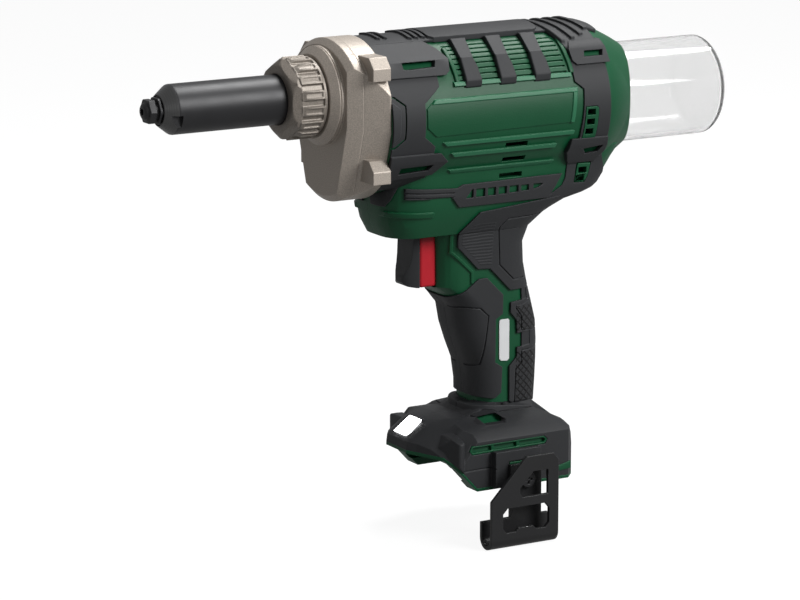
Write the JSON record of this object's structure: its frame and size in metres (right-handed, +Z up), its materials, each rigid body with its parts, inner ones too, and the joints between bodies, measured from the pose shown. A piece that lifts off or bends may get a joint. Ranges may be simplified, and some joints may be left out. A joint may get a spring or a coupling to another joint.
{
  "type": "battery rivet tool",
  "caption": "Pistol-shaped cordless blind riveter with nose sleeve, union nut, cast gear case, clamshell, clear mandrel container, trigger, battery foot and belt hook.",
  "frame": {"origin": "mouth of the nosepiece on the pulling axis", "axes": "+X along the pull from the nose to the mandrel container, +Z up, -Y the left side of the tool"},
  "size_m": [0.3141, 0.0888, 0.2533],
  "materials": {
    "bottle_green_shell": "fine moulded grain, satin",
    "soft_touch_grey": "soft-touch overmould, matt",
    "foot_plastic": "moulded, fine spark grain",
    "cast_champagne": "speckled cast and painted, satin",
    "black_steel": "black oxide, satin",
    "machined_steel": "turned and ground",
    "hardened_steel": "hardened, oiled",
    "bearing_steel": "polished",
    "brass": "turned",
    "motor_iron": "laminated and wound",
    "black_plastic": "moulded, plain",
    "trigger_red": "moulded, satin",
    "trigger_black": "moulded, matt",
    "board_green": "solder mask",
    "light_lens": "frosted clear",
    "bare_plate": "plain printed foil",
    "clear_container": "clear, polished",
    "seal_rubber": "moulded"
  },
  "bodies": {
    "housing": {"nosepiece": "black_steel", "nose_sleeve": "black_steel", "guide_tube": "machined_steel", "thrust_bearing": "bearing_steel", "nut_bearing": "bearing_steel", "gear_case_front": "cast_champagne", "gear_case_rear": "cast_champagne", "gear_case_screws": "black_steel", "ring_gear": "hardened_steel", "motor_can": "machined_steel", "motor_end_cap": "black_plastic", "left_shell": "bottle_green_shell", "right_shell": "bottle_green_shell", "shell_screws": "black_steel", "top_band": "soft_touch_grey", "left_front_bumper": "soft_touch_grey", "right_front_bumper": "soft_touch_grey", "left_rear_bumper": "soft_touch_grey", "right_rear_bumper": "soft_touch_grey", "left_vent_bars": "soft_touch_grey", "right_vent_bars": "soft_touch_grey", "left_side_strip": "soft_touch_grey", "right_side_strip": "soft_touch_grey", "left_thumb_pad": "soft_touch_grey", "right_thumb_pad": "soft_touch_grey", "left_grip_pads": "soft_touch_grey", "right_grip_pads": "soft_touch_grey", "grip_plate": "bare_plate", "switch_box": "black_plastic", "control_board": "board_green", "left_foot_cover": "foot_plastic", "right_foot_cover": "foot_plastic", "work_light_lens": "light_lens", "terminal_block": "black_plastic", "terminal_blades": "brass", "belt_hook": "black_steel", "hook_screw": "black_steel", "container_seat": "black_plastic", "container_seal": "seal_rubber"},
    "trigger": {"trigger": "trigger_red", "trigger_pad": "trigger_black"},
    "rotor": {"motor_rotor": "motor_iron", "sun_gear": "brass"},
    "carrier": {"planet_carrier": "hardened_steel", "output_pinion": "hardened_steel"},
    "planet_1": {"planet_gear_1": "hardened_steel"},
    "planet_2": {"planet_gear_2": "hardened_steel"},
    "planet_3": {"planet_gear_3": "hardened_steel"},
    "drive_nut": {"drive_nut": "machined_steel", "drive_gear": "hardened_steel"},
    "pull_rod": {"jaw_case": "machined_steel", "pull_screw": "machined_steel", "guide_pin": "hardened_steel", "pusher_spring": "machined_steel"},
    "jaw_1": {"jaw_1": "hardened_steel"},
    "jaw_2": {"jaw_2": "hardened_steel"},
    "jaw_3": {"jaw_3": "hardened_steel"},
    "jaw_pusher": {"jaw_pusher": "brass"},
    "container": {"container": "clear_container"},
    "collar_nut": {"collar_nut": "cast_champagne"}
  },
  "joints": [
    {"name": "trigger_pull", "type": "slide", "parent": "housing", "child": "trigger", "axis": [1, 0, 0], "range_m": [0, 0.006], "stiffness_N_per_m": 900, "springref_m": -0.004},
    {"name": "rotor_spin", "type": "hinge", "parent": "housing", "child": "rotor", "pos_m": [0.15, 0, -0.027], "axis": [1, 0, 0], "range_deg": [0, 47226]},
    {"name": "carrier_spin", "type": "hinge", "parent": "housing", "child": "carrier", "pos_m": [0.12, 0, -0.027], "axis": [1, 0, 0], "range_deg": [-5, 7881]},
    {"name": "planet_1_spin", "type": "hinge", "parent": "carrier", "child": "planet_1", "pos_m": [0.1278, 0, -0.036], "axis": [1, 0, 0], "range_deg": [-19693, 5]},
    {"name": "planet_2_spin", "type": "hinge", "parent": "carrier", "child": "planet_2", "pos_m": [0.1278, 0.00779, -0.0225], "axis": [1, 0, 0], "range_deg": [-19693, 5]},
    {"name": "planet_3_spin", "type": "hinge", "parent": "carrier", "child": "planet_3", "pos_m": [0.1278, -0.00779, -0.0225], "axis": [1, 0, 0], "range_deg": [-19693, 5]},
    {"name": "nut_spin", "type": "hinge", "parent": "housing", "child": "drive_nut", "pos_m": [0.108, 0, 0], "axis": [1, 0, 0], "range_deg": [-2255, 5]},
    {"name": "pull_stroke", "type": "slide", "parent": "housing", "child": "pull_rod", "axis": [1, 0, 0], "range_m": [0, 0.025]},
    {"name": "jaw_1_close", "type": "slide", "parent": "pull_rod", "child": "jaw_1", "axis": [-0.9816, 0, -0.1908], "range_m": [0, 0.002]},
    {"name": "jaw_2_close", "type": "slide", "parent": "pull_rod", "child": "jaw_2", "axis": [-0.9816, 0.1652, 0.0954], "range_m": [0, 0.002]},
    {"name": "jaw_3_close", "type": "slide", "parent": "pull_rod", "child": "jaw_3", "axis": [-0.9816, -0.1652, 0.0954], "range_m": [0, 0.002]},
    {"name": "pusher_follow", "type": "slide", "parent": "pull_rod", "child": "jaw_pusher", "axis": [-1, 0, 0], "range_m": [0, 0.002], "deforming": ["pusher_spring"]},
    {"name": "container_pull_off", "type": "slide", "parent": "housing", "child": "container", "axis": [1, 0, 0], "range_m": [0, 0.03]},
    {"name": "collar_turn", "type": "hinge", "parent": "housing", "child": "collar_nut", "pos_m": [0.075, 0, 0], "axis": [1, 0, 0], "range_deg": [0, 360]}
  ],
  "couplings": [
    {"joint": "carrier_spin", "follows": "rotor_spin", "ratio": 0.16667},
    {"joint": "planet_1_spin", "follows": "rotor_spin", "ratio": -0.41667},
    {"joint": "planet_2_spin", "follows": "rotor_spin", "ratio": -0.41667},
    {"joint": "planet_3_spin", "follows": "rotor_spin", "ratio": -0.41667},
    {"joint": "nut_spin", "follows": "rotor_spin", "ratio": -0.047619},
    {"joint": "pull_stroke", "follows": "rotor_spin", "m_per_rad": 0.000030315},
    {"joint": "jaw_2_close", "follows": "jaw_1_close", "ratio": 1},
    {"joint": "jaw_3_close", "follows": "jaw_1_close", "ratio": 1},
    {"joint": "pusher_follow", "follows": "jaw_1_close", "ratio": 0.98163}
  ]
}
